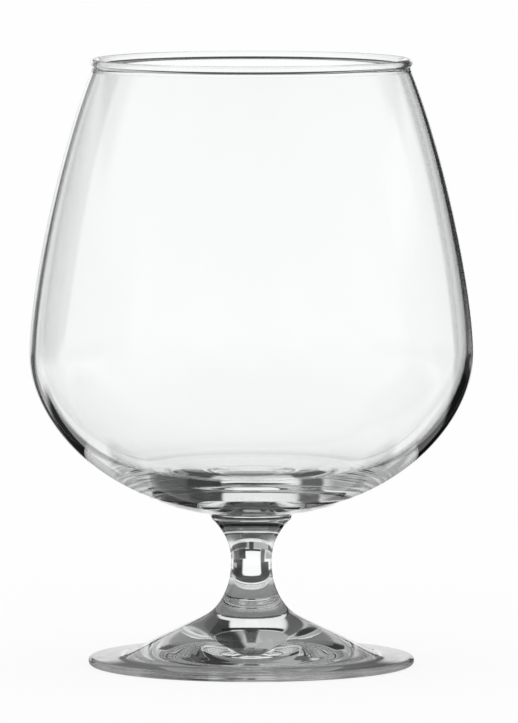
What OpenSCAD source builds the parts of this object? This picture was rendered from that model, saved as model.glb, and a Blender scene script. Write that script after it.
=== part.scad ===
// Brandy snifter in clear glass. A wide, thick-based bowl narrows to a beaded mouth and stands
// on a short waisted stem and a low conical foot with a hollow underside. Bowl, stem and foot
// are shaped apart and fused while hot, so each one is a solid of its own that meets the next
// on a flat disc. Millimetres, +Z up, origin at the centre of the standing plane.

/* [Whole glass] */
// Height from the standing plane to the top of the mouth bead
glass_h = 127; // [110:1:150]

/* [Bowl] */
// Widest diameter of the bowl
bowl_d = 92.8; // [84:0.2:104]
// Height of the widest ring above the standing plane
belly_z = 65.2; // [60:0.2:72]
// Wall thickness at the widest ring
belly_wall = 1.3; // [1:0.05:2]
// Diameter over the bead that rounds the mouth
mouth_d = 67.4; // [56:0.2:78]
// Thickness of the mouth bead
bead_d = 1.85; // [1.4:0.05:2.6]
// Wall thickness just under the bead
mouth_wall = 0.72; // [0.5:0.02:1]
// Height of the cavity floor on the axis
floor_z = 39; // [37:0.2:44]

/* [Stem] */
// Height of the disc where stem and bowl are fused
collar_z = 30.6; // [27:0.2:34]
// Diameter of the stem under the bowl
collar_d = 16.7; // [13:0.1:20]
// Smallest diameter of the stem
waist_d = 8.5; // [6.5:0.1:11]
// Height of the smallest section
waist_z = 21.7; // [18:0.1:24]
// Diameter of the stem on the foot
ankle_d = 17.4; // [14:0.1:21]

/* [Foot] */
// Height of the disc where stem and foot are fused
ankle_z = 11; // [9.5:0.1:13]
// Diameter where the cone runs out into the flat brim
cone_d = 53; // [44:0.2:56]
// Thickness of the foot at its rounded edge
edge_t = 1.7; // [1.3:0.05:2.2]
// Inner diameter of the ring that touches the table; the foot's edge stands outside it
ring_d = 61; // [54:0.2:70]
// Width of the flat ring that touches the table
ring_w = 2.75; // [1.5:0.05:4]
// Height of the hollow underside on the axis
hollow_h = 2.6; // [1:0.1:3.4]

/* [Hidden] */

glass_colour = [0.86, 0.9, 0.9, 0.45];

// Straight facets along each free curve, round each fillet and round each whole ring
curve_steps = 28;
fillet_steps = 8;
$fn = 128;

// Mouth: the wall ends inside the bead, near the bead's inner side
bead_r = mouth_d / 2 - bead_d / 2;
bead_z = glass_h - bead_d / 2;
wall_inset_share = 0.08;
mouth_inner_r = mouth_d / 2 - bead_d * (1 - wall_inset_share);

// Bowl outline: handle lengths as shares of the height or width that each curve spans
lean_angle = 22.7;
lean_share = 0.307;
belly_up_share = 0.22;
belly_down_share = 0.41;
under_share = 0.612;
under_angle = 8.4;
seat_fillet_share = 0.036;
seat_fillet_r = (bowl_d - collar_d) / 2 * seat_fillet_share;
under_r = collar_d / 2 + seat_fillet_r;

// Cavity: its wall thickens below the widest ring and turns into a nearly flat floor
cavity_lift_share = 0.01;
cavity_belly_z = belly_z * (1 + cavity_lift_share);
cavity_down_share = 0.48;
cavity_floor_share = 0.462;
cavity_floor_angle = 1.7;
floor_flat_share = 0.205;
floor_flat_r = bowl_d * floor_flat_share;

// Stem: handle lengths as shares of the height that each curve spans
collar_angle = 48;
collar_share = 0.46;
waist_up_share = 0.31;
waist_down_share = 0.46;
ankle_share = 0.3;
ankle_angle = 52;

// Foot: its widest diameter lies outside the ring by the rounded edge, to which the brim falls
foot_d = ring_d + 2 * ring_w + edge_t;
edge_r = edge_t / 2;
brim_fall_share = 0.2;
brim_h = edge_t * (1 + brim_fall_share);
hollow_shoulder_share = 0.72;
hollow_shoulder_h_share = 0.62;

function polar(r, a) = [r * cos(a), r * sin(a)];

// Cubic curve from p0 to p3 with handle ends p1 and p2
function curve(p0, p1, p2, p3, steps = curve_steps) = [
    for (i = [0:steps])
        let (t = i / steps, u = 1 - t)
        u ^ 3 * p0 + 3 * u ^ 2 * t * p1 + 3 * u * t ^ 2 * p2 + t ^ 3 * p3
];

function arc(centre, r, a0, a1, steps = fillet_steps) = [
    for (i = [0:steps]) centre + polar(r, a0 + (a1 - a0) * i / steps)
];

// The same points without the first one, so that joined stretches don't repeat a corner
function tail(points) = [for (i = [1:len(points) - 1]) points[i]];

// Wall from its end in the bead out to the widest ring
function shoulder(r_mouth, r_belly, z_belly) =
    let (h = bead_z - z_belly)
    curve([r_mouth, bead_z],
          [r_mouth, bead_z] + polar(h * lean_share, lean_angle - 90),
          [r_belly, z_belly + h * belly_up_share],
          [r_belly, z_belly]);

function outer_under() =
    let (under_z = collar_z + seat_fillet_r,
         r = bowl_d / 2,
         h = belly_z - under_z)
    curve([r, belly_z],
          [r, belly_z - h * belly_down_share],
          [under_r, under_z] + polar((r - under_r) * under_share, under_angle),
          [under_r, under_z]);

function cavity_under() =
    let (r = bowl_d / 2 - belly_wall,
         h = cavity_belly_z - floor_z)
    curve([r, cavity_belly_z],
          [r, cavity_belly_z - h * cavity_down_share],
          [floor_flat_r, floor_z]
              + polar((r - floor_flat_r) * cavity_floor_share, cavity_floor_angle),
          [floor_flat_r, floor_z]);

function bowl_profile() = concat(
    shoulder(mouth_inner_r + mouth_wall, bowl_d / 2, belly_z),
    tail(outer_under()),
    tail(arc([under_r, collar_z], seat_fillet_r, 90, 180)),
    [[0, collar_z], [0, floor_z]],
    [for (i = [curve_steps:-1:1]) cavity_under()[i]],
    [for (i = [curve_steps:-1:0])
        shoulder(mouth_inner_r, bowl_d / 2 - belly_wall, cavity_belly_z)[i]]);

function stem_profile() =
    let (upper_h = collar_z - waist_z,
         lower_h = waist_z - ankle_z,
         collar = [collar_d / 2, collar_z],
         waist = [waist_d / 2, waist_z],
         ankle = [ankle_d / 2, ankle_z])
    concat(
        [[0, collar_z]],
        curve(collar,
              collar - polar(upper_h * collar_share, 90 - collar_angle),
              waist + [0, upper_h * waist_up_share],
              waist),
        tail(curve(waist,
                   waist - [0, lower_h * waist_down_share],
                   ankle + polar(lower_h * ankle_share, 90 + ankle_angle),
                   ankle)),
        [[0, ankle_z]]);

function foot_profile() =
    let (ring_outer_r = foot_d / 2 - edge_r,
         hollow_r = ring_d / 2)
    concat(
        [[0, ankle_z], [ankle_d / 2, ankle_z], [cone_d / 2, brim_h]],
        arc([ring_outer_r, edge_r], edge_r, 90, -90),
        [[hollow_r, 0],
         [hollow_r * hollow_shoulder_share, hollow_h * hollow_shoulder_h_share],
         [0, hollow_h]]);

// Bowl with its bead, cavity and the seat that the stem is fused to
module bowl() {
    color(glass_colour)
        union() {
            rotate_extrude() polygon(bowl_profile());
            rotate_extrude() translate([bead_r, bead_z]) circle(d = bead_d);
        }
}

// Solid stem, flared at both ends
module stem() {
    color(glass_colour)
        rotate_extrude() polygon(stem_profile());
}

// Conical foot with a flat brim, a rounded edge and a hollow underside
module foot() {
    color(glass_colour)
        rotate_extrude() polygon(foot_profile());
}

bowl();
stem();
foot();
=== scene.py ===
"""Looks of a clear glass brandy snifter, dressed over its CAD frame.

Every length is in metres and every piece stands where its CAD node stands. The bowl, stem and foot
are surfaces of revolution: a profile in the (radius, height) plane is worked out from cubic curves
and arcs, then carried round the vertical axis on a grid of angles.
"""

import logging
import math
from abc import ABC, abstractmethod
from dataclasses import dataclass
from enum import Enum
from typing import ClassVar

import bpy
import numpy as np
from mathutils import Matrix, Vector

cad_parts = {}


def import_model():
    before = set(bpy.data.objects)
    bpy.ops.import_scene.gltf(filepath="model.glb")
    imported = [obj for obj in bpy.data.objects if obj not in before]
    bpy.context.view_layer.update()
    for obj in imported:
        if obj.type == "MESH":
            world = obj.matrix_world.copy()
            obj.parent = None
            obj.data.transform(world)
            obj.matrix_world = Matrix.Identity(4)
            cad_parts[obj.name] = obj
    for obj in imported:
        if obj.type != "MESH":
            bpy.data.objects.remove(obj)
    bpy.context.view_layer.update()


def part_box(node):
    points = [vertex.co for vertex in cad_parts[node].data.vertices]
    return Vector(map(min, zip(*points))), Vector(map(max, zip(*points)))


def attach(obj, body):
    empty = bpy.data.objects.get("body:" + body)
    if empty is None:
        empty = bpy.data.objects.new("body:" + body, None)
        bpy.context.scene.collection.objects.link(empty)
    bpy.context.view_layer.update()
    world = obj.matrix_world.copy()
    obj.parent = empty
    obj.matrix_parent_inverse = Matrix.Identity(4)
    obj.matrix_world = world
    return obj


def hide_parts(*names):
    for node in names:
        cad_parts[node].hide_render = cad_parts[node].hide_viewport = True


LOG = logging.getLogger("snifter")

MM = 0.001
IMAGE_WIDTH_PX = 518
IMAGE_HEIGHT_PX = 723
BODY = "root"
# Radius of the disc where stem and bowl are fused
COLLAR_RADIUS = 8.35 * MM
# Glass faces that a ray crosses on its way straight through the bowl
BOWL_FACES = 4
# Half a turn in degrees, which is also the way from straight down to straight up
HALF_TURN = 180.0


class Face(Enum):
    """Which finish a stretch of a profile takes, as a material slot number."""

    POLISHED = 0
    FUSED = 1


def linear(hex_colour: str) -> tuple[float, float, float, float]:
    """Turn an sRGB hex colour into linear light, by the curve of the sRGB standard.

    Args:
        hex_colour: Six hex digits after a hash, such as "#f4f7f6".

    Returns:
        Linear red, green and blue, and an alpha of one.
    """
    srgb = np.array([int(hex_colour[i:i + 2], 16) for i in (1, 3, 5)]) / 255
    light = np.where(srgb <= 0.04045, srgb / 12.92, ((srgb + 0.055) / 1.055) ** 2.4)
    return (*(float(v) for v in light), 1.0)


def add_node(tree: bpy.types.NodeTree, kind: str, inputs: dict | None = None,
             **settings: object) -> bpy.types.Node:
    """Add a node, set it up and feed its inputs.

    Args:
        tree: Node tree that takes the node.
        kind: Blender's name of the node's type.
        inputs: Input name or number to what feeds it: an output socket, a node whose first
            output does, or a plain value.
        **settings: Attributes of the node, such as the operation of a Math node.

    Returns:
        The new node.
    """
    node = tree.nodes.new(kind)
    for name, value in settings.items():
        setattr(node, name, value)
    for name, feed in (inputs or {}).items():
        if isinstance(feed, bpy.types.Node):
            feed = feed.outputs[0]
        if isinstance(feed, bpy.types.NodeSocket):
            tree.links.new(feed, node.inputs[name])
        else:
            node.inputs[name].default_value = feed
    return node


def empty_material(name: str) -> bpy.types.Material:
    """Make a material whose node tree is empty.

    Args:
        name: Name of the material.

    Returns:
        The material, ready for its nodes.
    """
    material = bpy.data.materials.new(name)
    material.use_nodes = True
    material.node_tree.nodes.clear()
    return material


def polar(length: float, degrees: float) -> np.ndarray:
    """Vector of a length at an angle from the outward radius, counted upwards.

    Args:
        length: Length of the vector.
        degrees: Its angle.

    Returns:
        Steps along the radius and the height.
    """
    a = math.radians(degrees)
    return np.array([length * math.cos(a), length * math.sin(a)])


def curve(p0: np.ndarray, p1: np.ndarray, p2: np.ndarray, p3: np.ndarray,
          steps: int) -> np.ndarray:
    """Cubic curve from p0 to p3 with handle ends p1 and p2.

    The point at t is (1-t)^3 p0 + 3 (1-t)^2 t p1 + 3 (1-t) t^2 p2 + t^3 p3, for t from 0 to 1.

    Args:
        p0: First point, (radius, height).
        p1: End of the first point's handle.
        p2: End of the last point's handle.
        p3: Last point.
        steps: Number of straight pieces.

    Returns:
        Array of steps + 1 points.
    """
    t = np.linspace(0, 1, steps + 1)[:, None]
    u = 1 - t
    return u ** 3 * p0 + 3 * u ** 2 * t * p1 + 3 * u * t ** 2 * p2 + t ** 3 * p3


def arc(centre: np.ndarray, radius: float, start: float, end: float, steps: int) -> np.ndarray:
    """Points on a circle from one angle in degrees to another.

    The point at angle a is centre + radius (cos a, sin a).

    Args:
        centre: Centre of the circle, (radius, height).
        radius: Radius of the circle.
        start: First angle, from the outward radius, counted upwards.
        end: Last angle.
        steps: Number of straight pieces.

    Returns:
        Array of steps + 1 points.
    """
    a = np.radians(np.linspace(start, end, steps + 1))
    return centre + radius * np.stack([np.cos(a), np.sin(a)], 1)


@dataclass
class Profile:
    """Outline of a surface of revolution, from one point on the axis to the other.

    Args:
        points: Array of (radius, height) points, outside the glass on the left of the way.
        faces: Finish of the band that starts at each point but the last.
    """

    points: np.ndarray
    faces: np.ndarray

    @classmethod
    def joined(cls, *stretches: tuple[np.ndarray, Face]) -> "Profile":
        """Join stretches that each start where the last one ends.

        Args:
            *stretches: Points of a stretch and the finish of its bands.

        Returns:
            One profile in which no point is given twice.
        """
        points, faces = [stretches[0][0]], []
        for number, (stretch, face) in enumerate(stretches):
            if number:
                points.append(stretch[1:])
            faces.append(np.full(len(stretch) - 1, face.value, np.int32))
        return cls(np.concatenate(points), np.concatenate(faces))


def lathe(name: str, profile: Profile, sides: int, crease_degrees: float) -> bpy.types.Object:
    """Carry a profile round the vertical axis.

    The point at profile step i and side k is (r cos a, r sin a, z) with a = 2 pi k / sides and
    (r, z) the profile's point i. The first and last points lie on the axis, so each is one
    vertex, closed with a fan of triangles. All other bands are quads.

    Args:
        name: Name of the piece.
        profile: Outline, from axis to axis, with the outside on the left of the way.
        sides: Number of steps round the axis.
        crease_degrees: Edges sharper than this keep a crease in the shading.

    Returns:
        The new object, with its place in its mesh.
    """
    a = 2 * math.pi * np.arange(sides) / sides
    rings = profile.points[1:-1]
    radius, height = rings[:, 0, None], rings[:, 1, None]
    grid = np.stack([radius * np.cos(a), radius * np.sin(a), height + 0 * a], 2).reshape(-1, 3)
    poles = np.array([[0, 0, profile.points[0, 1]], [0, 0, profile.points[-1, 1]]])
    vertices = np.concatenate([grid, poles])

    step = np.arange(sides)
    after = (step + 1) % sides
    row = np.arange(len(rings) - 1)[:, None] * sides
    quads = np.stack([row + step, row + sides + step, row + sides + after, row + after], 2)
    quads = quads.reshape(-1, 4)
    last = (len(rings) - 1) * sides
    first_fan = np.stack([np.full(sides, len(grid)), step, after], 1)
    last_fan = np.stack([np.full(sides, len(grid) + 1), last + after, last + step], 1)

    corners = np.concatenate([quads.ravel(), first_fan.ravel(), last_fan.ravel()])
    sizes = np.concatenate([np.full(len(quads), 4), np.full(2 * sides, 3)])
    starts = np.concatenate([[0], np.cumsum(sizes)[:-1]])
    finish = np.concatenate([np.repeat(profile.faces[1:-1], sides),
                             np.full(sides, profile.faces[0]), np.full(sides, profile.faces[-1])])

    mesh = bpy.data.meshes.new(name)
    mesh.vertices.add(len(vertices))
    mesh.vertices.foreach_set("co", vertices.ravel())
    mesh.loops.add(len(corners))
    mesh.loops.foreach_set("vertex_index", corners.astype(np.int32))
    mesh.polygons.add(len(sizes))
    mesh.polygons.foreach_set("loop_start", starts.astype(np.int32))
    mesh.polygons.foreach_set("material_index", finish.astype(np.int32))
    mesh.polygons.foreach_set("use_smooth", np.ones(len(sizes), bool))
    mesh.update(calc_edges=True)
    mesh.validate()
    mesh.set_sharp_from_angle(angle=math.radians(crease_degrees))
    piece = bpy.data.objects.new(name, mesh)
    bpy.context.scene.collection.objects.link(piece)
    return piece


@dataclass(frozen=True)
class SodaLimeGlass:
    """Fire-polished soda-lime glass, blown or pressed while hot and left clear.

    The skin is smooth but for soft ripples, which bend what the thick glass shows a little.

    Args:
        ior: Refractive index of soda-lime glass.
        colour: Tint of the glass, near enough colourless.
        roughness: Haze of the polished skin.
        ripple_size: Width of the soft ripples that the mould and the flame leave.
        ripple_height: Height of those ripples.
        ripple_detail: Finer ripples within them, in octaves.
        ripple_fineness: How strong each octave is beside the one before it.
    """

    ior: float = 1.52
    colour: str = "#feffff"
    roughness: float = 0.0
    ripple_size: float = 9 * MM
    ripple_height: float = 0.004 * MM
    ripple_detail: float = 1.0
    ripple_fineness: float = 0.4

    def material(self, name: str) -> bpy.types.Material:
        """Build the node material.

        Args:
            name: Name of the material.

        Returns:
            The glass.
        """
        material = empty_material(name)
        tree = material.node_tree
        place = add_node(tree, "ShaderNodeTexCoord").outputs["Object"]
        ripple = add_node(tree, "ShaderNodeTexNoise",
                          {"Vector": place, "Scale": 1 / self.ripple_size,
                           "Detail": self.ripple_detail, "Roughness": self.ripple_fineness})
        bump = add_node(tree, "ShaderNodeBump", {"Height": ripple.outputs["Fac"], "Strength": 1.0,
                                                 "Distance": self.ripple_height})
        shader = add_node(tree, "ShaderNodeBsdfPrincipled",
                          {"Normal": bump, "Base Color": linear(self.colour),
                           "Roughness": self.roughness, "IOR": self.ior,
                           "Transmission Weight": 1.0})
        add_node(tree, "ShaderNodeOutputMaterial", {"Surface": shader})
        return material


@dataclass(frozen=True)
class FusedJoint:
    """Glass fused to glass while hot. The two skins melt into one, so the eye sees no face."""

    def material(self, name: str) -> bpy.types.Material:
        """Build the node material.

        Args:
            name: Name of the material.

        Returns:
            The clear joint.
        """
        material = empty_material(name)
        tree = material.node_tree
        clear = add_node(tree, "ShaderNodeBsdfTransparent", {"Color": (1, 1, 1, 1)})
        add_node(tree, "ShaderNodeOutputMaterial", {"Surface": clear})
        return material


class RoundPiece(ABC):
    """Piece of the glass that is round about the vertical axis.

    Attributes:
        name: Name of the finished piece.
        node: Name of the CAD node that it stands for.
        sides: Number of steps round the axis.
        crease_degrees: Edges sharper than this keep a crease in the shading.
    """

    name: ClassVar[str]
    node: ClassVar[str]
    sides: ClassVar[int]
    crease_degrees: ClassVar[float]

    @abstractmethod
    def profile(self) -> Profile:
        """Outline of the piece, from one point on the axis to the other."""

    def build(self) -> bpy.types.Object:
        """Make the piece's mesh."""
        return lathe(self.name, self.profile(), self.sides, self.crease_degrees)

    def dress(self, piece: bpy.types.Object,
              finishes: dict[Face, bpy.types.Material]) -> bpy.types.Object:
        """Give the piece its finishes and put it in the place of its CAD node.

        Args:
            piece: The finished mesh.
            finishes: Material of each kind of face.

        Returns:
            The same piece.
        """
        for face in Face:
            piece.data.materials.append(finishes[face])
        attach(piece, BODY)
        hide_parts(self.node)
        return piece


@dataclass
class Bowl(RoundPiece):
    """Thick-based bowl with its rolled mouth bead and the seat that the stem is fused to.

    Args:
        radius: Radius of the widest ring.
        top: Height of the top of the bead.
        seat_height: Height of the disc where stem and bowl are fused.
        seat_radius: Radius of that disc.
        mouth_radius: Radius over the bead.
        bead_radius: Radius of the bead's round section.
        belly_height: Height of the widest ring.
        belly_wall: Wall thickness at the widest ring.
        mouth_wall: Wall thickness just under the bead.
        floor_height: Height of the cavity's floor on the axis.
        wall_inset_share: Share of the bead's width that stands in past the wall's inner skin.
        lean_angle: Lean of the wall under the bead, from upright.
        lean_share: Upper handle of the wall's curve, as a share of the wall's height.
        belly_up_share: Lower handle of that curve, as a share of the same height.
        belly_down_share: Handle under the widest ring, as a share of the height down to the seat.
        under_share: Handle at the seat, as a share of the way out to the widest ring.
        under_angle: Rise of the underside where it leaves the seat.
        seat_fillet_share: Fillet round the seat, as a share of the same way.
        cavity_lift_share: How much higher the cavity is widest than the outside.
        cavity_down_share: Handle under the cavity's widest ring, as a share of its depth.
        cavity_floor_share: Handle at the edge of the flat floor, as a share of the way out.
        cavity_floor_angle: Rise of the cavity where it leaves the flat floor.
        floor_flat_share: Radius of the flat floor, as a share of the bowl's radius.
        wall_steps: Straight pieces along the wall.
        under_steps: Straight pieces from the widest ring down.
        fillet_steps: Straight pieces round the fillet.
        bead_steps: Straight pieces round the bead.
    """

    name: ClassVar[str] = "snifter_bowl"
    node: ClassVar[str] = "bowl"
    sides: ClassVar[int] = 256
    crease_degrees: ClassVar[float] = 34

    radius: float
    top: float
    seat_height: float
    seat_radius: float
    mouth_radius: float = 33.7 * MM
    bead_radius: float = 0.925 * MM
    belly_height: float = 65.2 * MM
    belly_wall: float = 1.3 * MM
    mouth_wall: float = 0.72 * MM
    floor_height: float = 39.0 * MM
    wall_inset_share: float = 0.08
    lean_angle: float = 22.7
    lean_share: float = 0.307
    belly_up_share: float = 0.22
    belly_down_share: float = 0.41
    under_share: float = 0.612
    under_angle: float = 8.4
    seat_fillet_share: float = 0.036
    cavity_lift_share: float = 0.01
    cavity_down_share: float = 0.48
    cavity_floor_share: float = 0.462
    cavity_floor_angle: float = 1.7
    floor_flat_share: float = 0.41
    wall_steps: int = 84
    under_steps: int = 72
    fillet_steps: int = 10
    bead_steps: int = 28

    def bead_centre(self) -> np.ndarray:
        """Centre of the bead's round section."""
        return np.array([self.mouth_radius - self.bead_radius, self.top - self.bead_radius])

    def inner_mouth(self) -> float:
        """Radius of the cavity's wall where it ends in the bead."""
        return self.mouth_radius - 2 * self.bead_radius * (1 - self.wall_inset_share)

    def shoulder(self, mouth: float, belly: float, belly_height: float) -> np.ndarray:
        """Wall from its end in the bead out to the widest ring, as one cubic curve.

        Args:
            mouth: Radius at the bead.
            belly: Radius at the widest ring.
            belly_height: Height of the widest ring.

        Returns:
            Points from the bead down.
        """
        start = np.array([mouth, self.bead_centre()[1]])
        end = np.array([belly, belly_height])
        rise = start[1] - belly_height
        return curve(start, start + polar(rise * self.lean_share, self.lean_angle - 90),
                     end + [0, rise * self.belly_up_share], end, self.wall_steps)

    def outside(self) -> np.ndarray:
        """Outer skin: two cubic curves and a hollow fillet.

        Returns:
            Points from the bead down to the seat.
        """
        fillet = (self.radius - self.seat_radius) * self.seat_fillet_share
        under = np.array([self.seat_radius + fillet, self.seat_height + fillet])
        belly = np.array([self.radius, self.belly_height])
        drop = self.belly_height - under[1]
        lower = curve(belly, belly - [0, drop * self.belly_down_share],
                      under + polar((self.radius - under[0]) * self.under_share,
                                    self.under_angle), under, self.under_steps)
        seat = arc(np.array([under[0], self.seat_height]), fillet, 90, 180, self.fillet_steps)
        wall = self.shoulder(self.inner_mouth() + self.mouth_wall, self.radius,
                             self.belly_height)
        return np.concatenate([wall, lower[1:], seat[1:]])

    def cavity(self) -> np.ndarray:
        """Inner skin: two cubic curves and a flat floor.

        Returns:
            Points from the bead down to the axis.
        """
        belly = np.array([self.radius - self.belly_wall,
                          self.belly_height * (1 + self.cavity_lift_share)])
        flat = np.array([self.radius * self.floor_flat_share, self.floor_height])
        drop = belly[1] - self.floor_height
        lower = curve(belly, belly - [0, drop * self.cavity_down_share],
                      flat + polar((belly[0] - flat[0]) * self.cavity_floor_share,
                                   self.cavity_floor_angle), flat, self.under_steps)
        wall = self.shoulder(self.inner_mouth(), belly[0], belly[1])
        return np.concatenate([wall, lower[1:], [[0, self.floor_height]]])

    def bead(self, inner: np.ndarray, outer: np.ndarray) -> np.ndarray:
        """Bead's round section over the mouth.

        Args:
            inner: Last point of the cavity's wall outside the bead.
            outer: First point of the outer wall outside the bead.

        Returns:
            Points of the arc between the directions of those two points.
        """
        centre = self.bead_centre()
        start, end = (math.degrees(math.atan2(*(p - centre)[::-1])) for p in (inner, outer))
        return arc(centre, self.bead_radius, start % 360, end, self.bead_steps)

    def profile(self) -> Profile:
        """Whole outline of the bowl, with the walls cut off where they enter the bead.

        Returns:
            Outline from the cavity floor's centre over the bead to the seat's centre.
        """
        centre = self.bead_centre()
        inside, outside = self.cavity(), self.outside()
        inside = inside[np.hypot(*(inside - centre).T) > self.bead_radius][::-1]
        outside = outside[np.hypot(*(outside - centre).T) > self.bead_radius]
        bead = self.bead(inside[-1], outside[0])
        skin = np.concatenate([inside, bead[1:-1], outside])
        seat = np.array([skin[-1], [0, self.seat_height]])
        return Profile.joined((skin, Face.POLISHED), (seat, Face.FUSED))


@dataclass
class Stem(RoundPiece):
    """Short solid stem, flared at both ends.

    Args:
        collar_radius: Radius at the bowl's seat.
        collar_height: Height of the bowl's seat.
        ankle_radius: Radius on the foot.
        ankle_height: Height of the foot's seat.
        waist_radius: Smallest radius.
        waist_height: Height of the smallest section.
        collar_angle: Slope of the flare at the collar, from upright.
        collar_share: Handle at the collar, as a share of the height down to the waist.
        waist_up_share: Handle above the waist, as a share of the same height.
        waist_down_share: Handle below the waist, as a share of the height down to the ankle.
        ankle_share: Handle at the ankle, as a share of the same height.
        ankle_angle: Slope of the flare at the ankle, from upright.
        flare_steps: Straight pieces along each of the two curves.
    """

    name: ClassVar[str] = "snifter_stem"
    node: ClassVar[str] = "stem"
    sides: ClassVar[int] = 192
    crease_degrees: ClassVar[float] = 34

    collar_radius: float
    collar_height: float
    ankle_radius: float
    ankle_height: float
    waist_radius: float = 4.25 * MM
    waist_height: float = 21.7 * MM
    collar_angle: float = 48.0
    collar_share: float = 0.46
    waist_up_share: float = 0.31
    waist_down_share: float = 0.46
    ankle_share: float = 0.3
    ankle_angle: float = 52.0
    flare_steps: int = 48

    def profile(self) -> Profile:
        """Whole outline of the stem: two cubic curves between the two fused discs.

        Returns:
            Outline from the collar's centre down to the ankle's.
        """
        collar = np.array([self.collar_radius, self.collar_height])
        waist = np.array([self.waist_radius, self.waist_height])
        ankle = np.array([self.ankle_radius, self.ankle_height])
        upper, lower = collar[1] - waist[1], waist[1] - ankle[1]
        flare = curve(collar, collar - polar(upper * self.collar_share, 90 - self.collar_angle),
                      waist + [0, upper * self.waist_up_share], waist, self.flare_steps)
        spread = curve(waist, waist - [0, lower * self.waist_down_share],
                       ankle + polar(lower * self.ankle_share, 90 + self.ankle_angle),
                       ankle, self.flare_steps)
        side = np.concatenate([flare, spread[1:]])
        return Profile.joined((np.array([[0, self.collar_height], collar]), Face.FUSED),
                              (side, Face.POLISHED),
                              (np.array([ankle, [0, self.ankle_height]]), Face.FUSED))


@dataclass
class Foot(RoundPiece):
    """Low solid cone with a flat brim, a rounded edge and a hollow underside.

    Args:
        radius: Radius over the rounded edge.
        seat_radius: Radius of the disc that the stem is fused to.
        seat_height: Height of that disc.
        cone_radius: Radius where the cone runs out into the brim.
        edge_radius: Radius of the rounded edge.
        brim_fall_share: How far the brim falls to the edge, as a share of the edge's thickness.
        ring_radius: Inner radius of the flat ring that the glass stands on.
        hollow_height: Height of the hollow underside on the axis.
        hollow_power: How flat the hollow's middle is.
        ankle_angle: Slope of the soft turn where it leaves the seat, below level.
        ankle_blend: Length of both handles of the soft turn from the seat into the cone.
        brim_blend: Reach of the soft turn from the cone into the brim, to either side.
        flare_steps: Straight pieces along the upper soft turn.
        slope_steps: Straight pieces along the rest of the cone.
        turn_steps: Straight pieces along the lower soft turn.
        brim_steps: Straight pieces along the brim.
        edge_steps: Straight pieces round the edge.
        hollow_steps: Straight pieces along the hollow.
    """

    name: ClassVar[str] = "snifter_foot"
    node: ClassVar[str] = "foot"
    sides: ClassVar[int] = 512
    crease_degrees: ClassVar[float] = 12

    radius: float
    seat_radius: float
    seat_height: float
    cone_radius: float = 26.5 * MM
    edge_radius: float = 0.85 * MM
    brim_fall_share: float = 0.2
    ring_radius: float = 30.5 * MM
    hollow_height: float = 2.6 * MM
    hollow_power: float = 3.2
    ankle_angle: float = 38.0
    ankle_blend: float = 2.2 * MM
    brim_blend: float = 2.5 * MM
    flare_steps: int = 30
    slope_steps: int = 15
    turn_steps: int = 16
    brim_steps: int = 7
    edge_steps: int = 20
    hollow_steps: int = 48

    def cone(self, seat: np.ndarray, corner: np.ndarray, edge: np.ndarray) -> np.ndarray:
        """Cone and brim, with soft turns at both ends of the cone as hot glass leaves them.

        A cubic curve leaves the seat at the stem's angle and runs into the cone halfway down. The
        corner between cone and brim is rounded with a cubic curve whose handles both point at it.

        Args:
            seat: Upper end of the cone.
            corner: Corner between the cone and the brim.
            edge: Outer end of the brim.

        Returns:
            Points from the seat to the edge.
        """
        down = (corner - seat) / np.hypot(*(corner - seat))
        out = (edge - corner) / np.hypot(*(edge - corner))
        middle = (seat + corner) / 2
        flare = curve(seat, seat + polar(self.ankle_blend, -self.ankle_angle),
                      middle - self.ankle_blend * down, middle, self.flare_steps)
        start, end = corner - self.brim_blend * down, corner + self.brim_blend * out
        slope = np.linspace(middle, start, self.slope_steps + 1)
        turn = curve(start, (start + 2 * corner) / 3, (end + 2 * corner) / 3, end,
                     self.turn_steps)
        brim = np.linspace(end, edge, self.brim_steps + 1)
        return np.concatenate([flare, slope[1:], turn[1:], brim[1:]])

    def hollow(self) -> np.ndarray:
        """Hollow underside from the standing ring to the axis.

        Its height at the share s of the ring's radius is hollow_height (1 - s^hollow_power).

        Returns:
            Points from the ring inwards.
        """
        s = np.linspace(1, 0, self.hollow_steps + 1)
        return np.stack([self.ring_radius * s,
                         self.hollow_height * (1 - s ** self.hollow_power)], 1)

    def profile(self) -> Profile:
        """Whole outline of the foot.

        Returns:
            Outline from the seat's centre over the cone, the edge and the hollow underside.
        """
        seat = np.array([self.seat_radius, self.seat_height])
        corner = np.array([self.cone_radius, 2 * self.edge_radius * (1 + self.brim_fall_share)])
        edge = arc(np.array([self.radius - self.edge_radius, self.edge_radius]),
                   self.edge_radius, 90, -90, self.edge_steps)
        skin = np.concatenate([self.cone(seat, corner, edge[0]), edge[1:], self.hollow()])
        return Profile.joined((np.array([[0, self.seat_height], seat]), Face.FUSED),
                              (skin, Face.POLISHED))


def glass_ray(tree: bpy.types.NodeTree) -> bpy.types.Node:
    """Tell the rays that a mirror or glass sends on from the rest.

    Args:
        tree: Node tree that takes the nodes.

    Returns:
        Node of the value one for such rays and zero for the rest.
    """
    path = add_node(tree, "ShaderNodeLightPath")
    return add_node(tree, "ShaderNodeMath", {0: path.outputs["Is Glossy Ray"],
                                             1: path.outputs["Is Transmission Ray"]},
                    operation="MAXIMUM")


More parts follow.
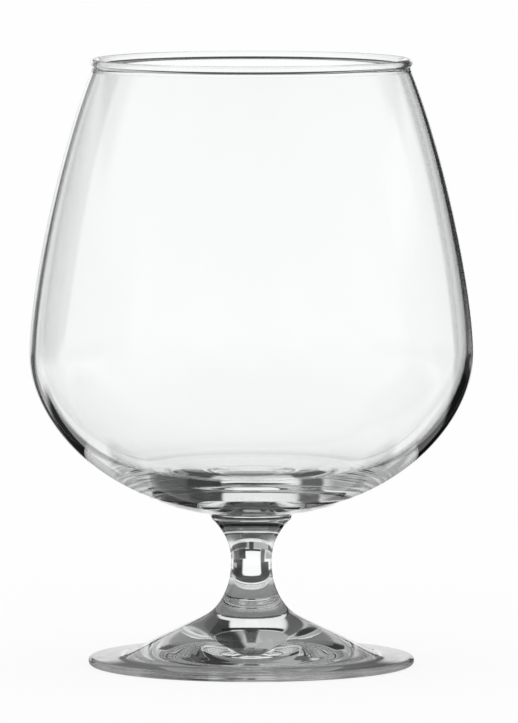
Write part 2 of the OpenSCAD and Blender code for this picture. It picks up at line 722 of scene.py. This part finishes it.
def through_bowl(tree: bpy.types.NodeTree) -> bpy.types.Node:
    """Tell the rays that go straight through the bowl from the rest.

    Such a ray has crossed four faces of glass and was thrown back by none. Both counts are
    whole numbers, so they are held against a number halfway between two of them.

    Args:
        tree: Node tree that takes the nodes.

    Returns:
        Node of the value one for such rays and zero for the rest.
    """
    path = add_node(tree, "ShaderNodeLightPath")
    crossed = add_node(tree, "ShaderNodeMath",
                       {0: path.outputs["Transmission Depth"], 1: BOWL_FACES - 0.5},
                       operation="GREATER_THAN")
    straight = add_node(tree, "ShaderNodeMath", {0: path.outputs["Glossy Depth"], 1: 0.5},
                        operation="LESS_THAN")
    return add_node(tree, "ShaderNodeMath", {0: crossed, 1: straight}, operation="MULTIPLY")


@dataclass(frozen=True)
class Card:
    """Soft-edged card in the studio, which only glass and mirror rays see.

    Product photographers stand such cards round clear glass, so that its rims and its thick base
    read as dark and light lines against the white. A card is a window of directions seen from
    the glass: a turn in degrees from +Y towards +X, and a tilt in degrees above the horizon. A
    tilt below zero falls on the table.

    Args:
        turns: First and last turn of the card.
        tilts: Lowest and highest tilt of the card.
        shade: How bright the card looks, as linear light.
        soft_turn: Width of its soft edges to left and right.
        soft_tilt: Width of its soft edges above and below.
    """

    turns: tuple[float, float]
    tilts: tuple[float, float]
    shade: float
    soft_turn: float
    soft_tilt: float

    def cover(self, tree: bpy.types.NodeTree, turn: bpy.types.Node,
              tilt: bpy.types.Node) -> bpy.types.Node:
        """How much the card covers in a direction.

        Across each edge it falls smoothly from one to zero over the soft width, and the two
        spans are multiplied. Turns are folded at half a turn, so that they meet behind.

        Args:
            tree: Node tree that takes the nodes.
            turn: Node of the direction's turn.
            tilt: Node of the direction's tilt.

        Returns:
            Node of the value, from zero to one.
        """
        across = add_node(tree, "ShaderNodeMath", {0: turn, 1: sum(self.turns) / 2},
                          operation="SUBTRACT")
        beside = add_node(tree, "ShaderNodeMath", {0: across, 1: HALF_TURN}, operation="PINGPONG")
        along = add_node(tree, "ShaderNodeMath", {0: tilt, 1: sum(self.tilts) / 2},
                         operation="SUBTRACT")
        above = add_node(tree, "ShaderNodeMath", {0: along}, operation="ABSOLUTE")
        spans = []
        for away, (low, high), soft in ((beside, self.turns, self.soft_turn),
                                        (above, self.tilts, self.soft_tilt)):
            half = (high - low) / 2
            spans.append(add_node(tree, "ShaderNodeMapRange",
                                  {"Value": away, "From Min": half - soft / 2,
                                   "From Max": half + soft / 2, "To Min": 1.0, "To Max": 0.0},
                                  interpolation_type="SMOOTHSTEP"))
        return add_node(tree, "ShaderNodeMath", {0: spans[0], 1: spans[1]}, operation="MULTIPLY")

    def lay(self, tree: bpy.types.NodeTree, turn: bpy.types.Node, tilt: bpy.types.Node,
            shade: bpy.types.Node) -> bpy.types.Node:
        """Lay the card over what is there.

        Args:
            tree: Node tree that takes the nodes.
            turn: Node of the direction's turn.
            tilt: Node of the direction's tilt.
            shade: Node of the brightness without the card.

        Returns:
            Node of the brightness with the card.
        """
        gap = add_node(tree, "ShaderNodeMath", {0: self.shade, 1: shade}, operation="SUBTRACT")
        return add_node(tree, "ShaderNodeMath", {0: gap, 1: self.cover(tree, turn, tilt), 2: shade},
                        operation="MULTIPLY_ADD")


@dataclass(frozen=True)
class Surroundings:
    """Bare studio and the cards in it, as a brightness in each direction from the glass.

    Most values of the walls and cards come from a least-squares fit of light traced through a
    model of the glass to the greys of the photograph. They were then rounded and some were
    changed.

    Args:
        walls_and_painted_shadow: Tilt in degrees and brightness of the bare studio there, from low
            to high. Below the horizon it lies on the paper, where the dark values steepest down are
            a painted shadow of the glass round the foot.
        cards: Cards in front of the walls, each one over those before it.
    """

    walls_and_painted_shadow: tuple[tuple[float, float], ...] = (
        # Steepest down the paper is darker: a painted shadow of the glass round its foot
        (-90, 0.25), (-68, 0.22), (-60, 0.3), (-52, 0.7),
        (-45, 0.97), (-8, 1), (0, 0.87), (15, 0.7),
        (30, 0.5), (50, 0.2), (65, 0.12), (90, 0.06))
    cards: tuple[Card, ...] = (
        # Faint cards on both sides of the camera, which the front of the bowl mirrors
        Card((109, 124), (-10, 13), 0.88, 15, 13),
        Card((150, 165), (-11, 13), 0.88, 16, 13),
        Card((-167, -149), (-11, 13), 0.88, 19, 13),
        Card((-123, -103), (-13, 13), 0.84, 15, 12),
        # Painted shadow: dark strips on the table close behind the foot, where the glass's shadow
        # falls
        Card((-35, 35), (-59, -43), 0.04, 12, 4),
        Card((-80, 80), (-53, -42), 0.04, 14, 4),
        # Black cards on the table to the right, with a grey patch, and to the left
        Card((17, 52), (-51, -5.5), 0.01, 5, 3),
        Card((34, 54), (-32, -20), 0.35, 4, 3),
        Card((-47, -19), (-56, -16), 0.03, 3, 4),
        # White sheet straight behind, which the stem shows as a bright window
        Card((-17, 15), (-45, 8.7), 1, 5, 2.4),
        # Cards that stand to the right, black beside the sheet and grey further out
        Card((11, 28), (-5, 14), 0.03, 2, 3),
        Card((26, 49), (-8, 13), 0.09, 3, 3),
        Card((47, 92), (-2, 12), 0.5, 12, 12),
        # Cards that stand to the left, grey far out and dark beside the sheet
        Card((-112, -60), (-2, 14), 0.5, 14, 12),
        Card((-61, -33), (-5, 10), 0.38, 9, 6),
        Card((-30, -19), (-17, 13.5), 0.12, 3, 3),
        # Dark cloth above them, with a grey part behind and to the left
        Card((-80, 71), (14, 47), 0.03, 12, 3),
        Card((-41, 8), (14, 45), 0.42, 6, 3.3),
        # Light gap at the cloth's lower right end
        Card((66, 92), (10, 17), 0.86, 6, 2),
        # Black top edge of the white sheet, where the stem's window ends
        Card((-18, 16), (8.7, 12), 0, 2, 1.5),
        # Black cloth overhead, and a thin black strip above the white sheet
        Card((-62, 61), (45, 67), 0.01, 15, 5),
        Card((-4, 4), (10, 34), 0.02, 2, 2),
    )

    def brightness(self, tree: bpy.types.NodeTree,
                   direction: bpy.types.Node | bpy.types.NodeSocket) -> bpy.types.Node:
        """Brightness of the studio in a direction from the glass.

        Rays that go straight through the bowl see plain white instead of the walls and cards,
        so that the bowl is clear from every side.

        Args:
            tree: Node tree that takes the nodes.
            direction: Vector from the glass, of any length.

        Returns:
            Node of the brightness.
        """
        unit = add_node(tree, "ShaderNodeVectorMath", {0: direction}, operation="NORMALIZE")
        part = add_node(tree, "ShaderNodeSeparateXYZ", {0: unit})
        heading = add_node(tree, "ShaderNodeMath", {0: part.outputs["X"], 1: part.outputs["Y"]},
                           operation="ARCTAN2")
        turn = add_node(tree, "ShaderNodeMath", {0: heading}, operation="DEGREES")
        rise = add_node(tree, "ShaderNodeMath", {0: part.outputs["Z"]}, operation="ARCSINE")
        tilt = add_node(tree, "ShaderNodeMath", {0: rise}, operation="DEGREES")
        # The ramp runs from straight down at zero to straight up at one
        place = add_node(tree, "ShaderNodeMath", {0: tilt, 1: 1 / HALF_TURN, 2: 0.5},
                         operation="MULTIPLY_ADD")
        shade = add_node(tree, "ShaderNodeValToRGB", {0: place})
        stops = shade.color_ramp.elements
        stops.remove(stops[-1])
        for number, (height, light) in enumerate(self.walls_and_painted_shadow):
            position = height / HALF_TURN + 0.5
            stop = stops.new(position) if number else stops[0]
            stop.position = position
            stop.color = (light, light, light, 1)
        for card in self.cards:
            shade = card.lay(tree, turn, tilt, shade)
        return add_node(tree, "ShaderNodeMath", {0: shade, 1: through_bowl(tree)},
                        operation="MAXIMUM")


@dataclass(frozen=True)
class WhitePaper:
    """White paper: the eye sees it a little shaded, and glass rays see it glow with the studio's
    brightness, which includes a painted shadow of the glass round and behind the foot.

    To the camera it is mostly plain white and partly lit paper, so that it keeps
    a faint shadow of the glass.

    Args:
        surroundings: Studio that the glass sees on the paper.
        colour: Colour of the lit paper.
        camera_white: Share of the paper that the camera sees as plain white.
        eye_height: Height in the glass from which the studio on the paper is laid out.
    """

    surroundings: Surroundings
    colour: str = "#f8f8f8"
    camera_white: float = 0.85
    eye_height: float = 60 * MM

    def material(self, name: str) -> bpy.types.Material:
        """Build the node material.

        Args:
            name: Name of the material.

        Returns:
            The paper.
        """
        material = empty_material(name)
        tree = material.node_tree
        place = add_node(tree, "ShaderNodeTexCoord").outputs["Object"]
        direction = add_node(tree, "ShaderNodeVectorMath",
                             {0: place, 1: (0, 0, self.eye_height)}, operation="SUBTRACT")
        seen = add_node(tree, "ShaderNodeLightPath").outputs["Is Camera Ray"]
        # For glass rays the paper glows with the studio's brightness, painted shadow round the foot
        # included
        light = add_node(tree, "ShaderNodeMath",
                         {0: seen, 1: self.surroundings.brightness(tree, direction)},
                         operation="MAXIMUM")
        glow = add_node(tree, "ShaderNodeEmission", {"Color": light, "Strength": 1.0})
        matt = add_node(tree, "ShaderNodeBsdfDiffuse", {"Color": linear(self.colour)})
        part = add_node(tree, "ShaderNodeMath",
                        {0: seen, 1: self.camera_white, 2: glass_ray(tree)},
                        operation="MULTIPLY_ADD")
        mix = add_node(tree, "ShaderNodeMixShader", {0: part, 1: matt, 2: glow})
        add_node(tree, "ShaderNodeOutputMaterial", {"Surface": mix})
        return material


@dataclass
class Studio:
    """Plain pale floor, white surroundings and the camera of a product photograph.

    Args:
        height: Height of the glass, from which every distance of the camera follows.
        surroundings: What glass and mirror rays see of the studio.
        distance_share: How far the camera stands in front, as a share of the glass's height.
        camera_share: How high it stands, as a share of the same.
        aim_share: How high it aims, as a share of the same.
        pixels_high: Height of the glass in the photograph.
        axis_px: Place of the glass's axis across the photograph.
        sensor: Longer side of the camera's frame, in millimetres.
        view_reach: How far the camera sees.
        floor_radius: Radius of the paper floor.
        floor_drop: Gap between the glass and the paper, so that their faces stay apart.
        floor_sides: Steps round the floor.
        floor_rings: Rings of the floor.
        daylight: Brightness of the world for everything but glass and mirror rays.
        bounces: Bounces that a ray may take inside the thick glass.
        clear_bounces: Fused joints that a ray may pass.
    """

    height: float
    surroundings: Surroundings = Surroundings()
    distance_share: float = 15.9
    camera_share: float = 1.80
    aim_share: float = 0.5008
    pixels_high: float = 607.5
    axis_px: float = 251.3
    sensor: float = 36.0
    view_reach: float = 100
    floor_radius: float = 6.0
    floor_drop: float = 0.02 * MM
    floor_sides: int = 96
    floor_rings: int = 12
    daylight: float = 1.0
    bounces: int = 32
    clear_bounces: int = 64

    def camera(self) -> bpy.types.Object:
        """Put the camera in front of the glass and a little above it.

        The lens is the length at which the glass is as many pixels high as in the photograph,
        and the camera is turned aside by the angle that puts the glass's axis where it is there.

        Returns:
            The camera, which is also made the scene's own.
        """
        place = Vector((0, -self.distance_share * self.height, self.camera_share * self.height))
        aim = Vector((0, 0, self.aim_share * self.height))
        reach = (aim - place).length
        focal_px = self.pixels_high / self.height * reach
        data = bpy.data.cameras.new("camera")
        data.sensor_width = self.sensor
        data.lens = focal_px / IMAGE_HEIGHT_PX * self.sensor
        data.clip_end = self.view_reach
        camera = bpy.data.objects.new("camera", data)
        bpy.context.scene.collection.objects.link(camera)
        camera.location = place
        camera.rotation_euler = (aim - place).to_track_quat("-Z", "Y").to_euler()
        camera.rotation_euler.z -= math.atan((IMAGE_WIDTH_PX / 2 - self.axis_px) / focal_px)
        bpy.context.scene.camera = camera
        return camera

    def floor(self) -> bpy.types.Object:
        """Lay a round white floor that keeps a faint shadow of the glass in the picture.

        The point at ring i and side k is (r cos a, r sin a, -floor_drop), with a = 2 pi k /
        floor_sides and the rings at equal steps. The middle is closed with a fan of triangles.

        Returns:
            The floor.
        """
        sides, rings = self.floor_sides, self.floor_rings
        a = 2 * math.pi * np.arange(sides) / sides
        radius = np.linspace(0, self.floor_radius, rings + 1)[1:, None]
        grid = np.stack([radius * np.cos(a), radius * np.sin(a),
                         np.full((rings, sides), -self.floor_drop)], 2)
        points = np.concatenate([grid.reshape(-1, 3), [[0, 0, -self.floor_drop]]])
        step = np.arange(sides)
        after = (step + 1) % sides
        row = np.arange(rings - 1)[:, None] * sides
        quads = np.stack([row + step, row + sides + step, row + sides + after, row + after], 2)
        fan = np.stack([np.full(sides, len(points) - 1), step, after], 1)
        mesh = bpy.data.meshes.new("floor")
        mesh.from_pydata(points.tolist(), [], quads.reshape(-1, 4).tolist() + fan.tolist())
        floor = bpy.data.objects.new("floor", mesh)
        bpy.context.scene.collection.objects.link(floor)
        mesh.materials.append(WhitePaper(self.surroundings).material("white_paper"))
        return floor

    def world(self) -> None:
        """Light the scene: the studio for glass and mirror rays, and plain white for the rest."""
        world = bpy.data.worlds.new("studio")
        world.use_nodes = True
        tree = world.node_tree
        tree.nodes.clear()
        place = add_node(tree, "ShaderNodeTexCoord").outputs["Generated"]
        light = add_node(tree, "ShaderNodeMix",
                         {"Factor": glass_ray(tree), "A": self.daylight,
                          "B": self.surroundings.brightness(tree, place)}, data_type="FLOAT")
        sky = add_node(tree, "ShaderNodeBackground", {"Color": light, "Strength": 1.0})
        add_node(tree, "ShaderNodeOutputWorld", {"Surface": sky})
        bpy.context.scene.world = world

    def light_paths(self) -> None:
        """Let light run long enough to show the inside of the thick glass."""
        cycles = bpy.context.scene.cycles
        cycles.max_bounces = self.bounces
        cycles.transmission_bounces = self.bounces
        cycles.glossy_bounces = self.bounces
        cycles.transparent_max_bounces = self.clear_bounces


def main() -> None:
    """Load the frame, build and dress the three glass pieces, and set up the studio."""
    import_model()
    bpy.context.scene.view_settings.view_transform = "Standard"

    bowl_low, bowl_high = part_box("bowl")
    stem_low, stem_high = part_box("stem")
    _, foot_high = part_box("foot")
    ankle_radius = stem_high.x
    finishes = {Face.POLISHED: SodaLimeGlass().material("fire_polished_glass"),
                Face.FUSED: FusedJoint().material("fused_glass_joint")}
    for part in (Bowl(bowl_high.x, bowl_high.z, bowl_low.z, COLLAR_RADIUS),
                 Stem(COLLAR_RADIUS, stem_high.z, ankle_radius, stem_low.z),
                 Foot(foot_high.x, ankle_radius, foot_high.z)):
        piece = part.dress(part.build(), finishes)
        LOG.info("%s: %d faces, stands for %s", piece.name, len(piece.data.polygons), part.node)

    studio = Studio(bowl_high.z)
    studio.camera()
    studio.floor()
    studio.world()
    studio.light_paths()


if __name__ == "__main__":
    logging.basicConfig(level=logging.INFO, format="%(name)s: %(message)s")
    main()
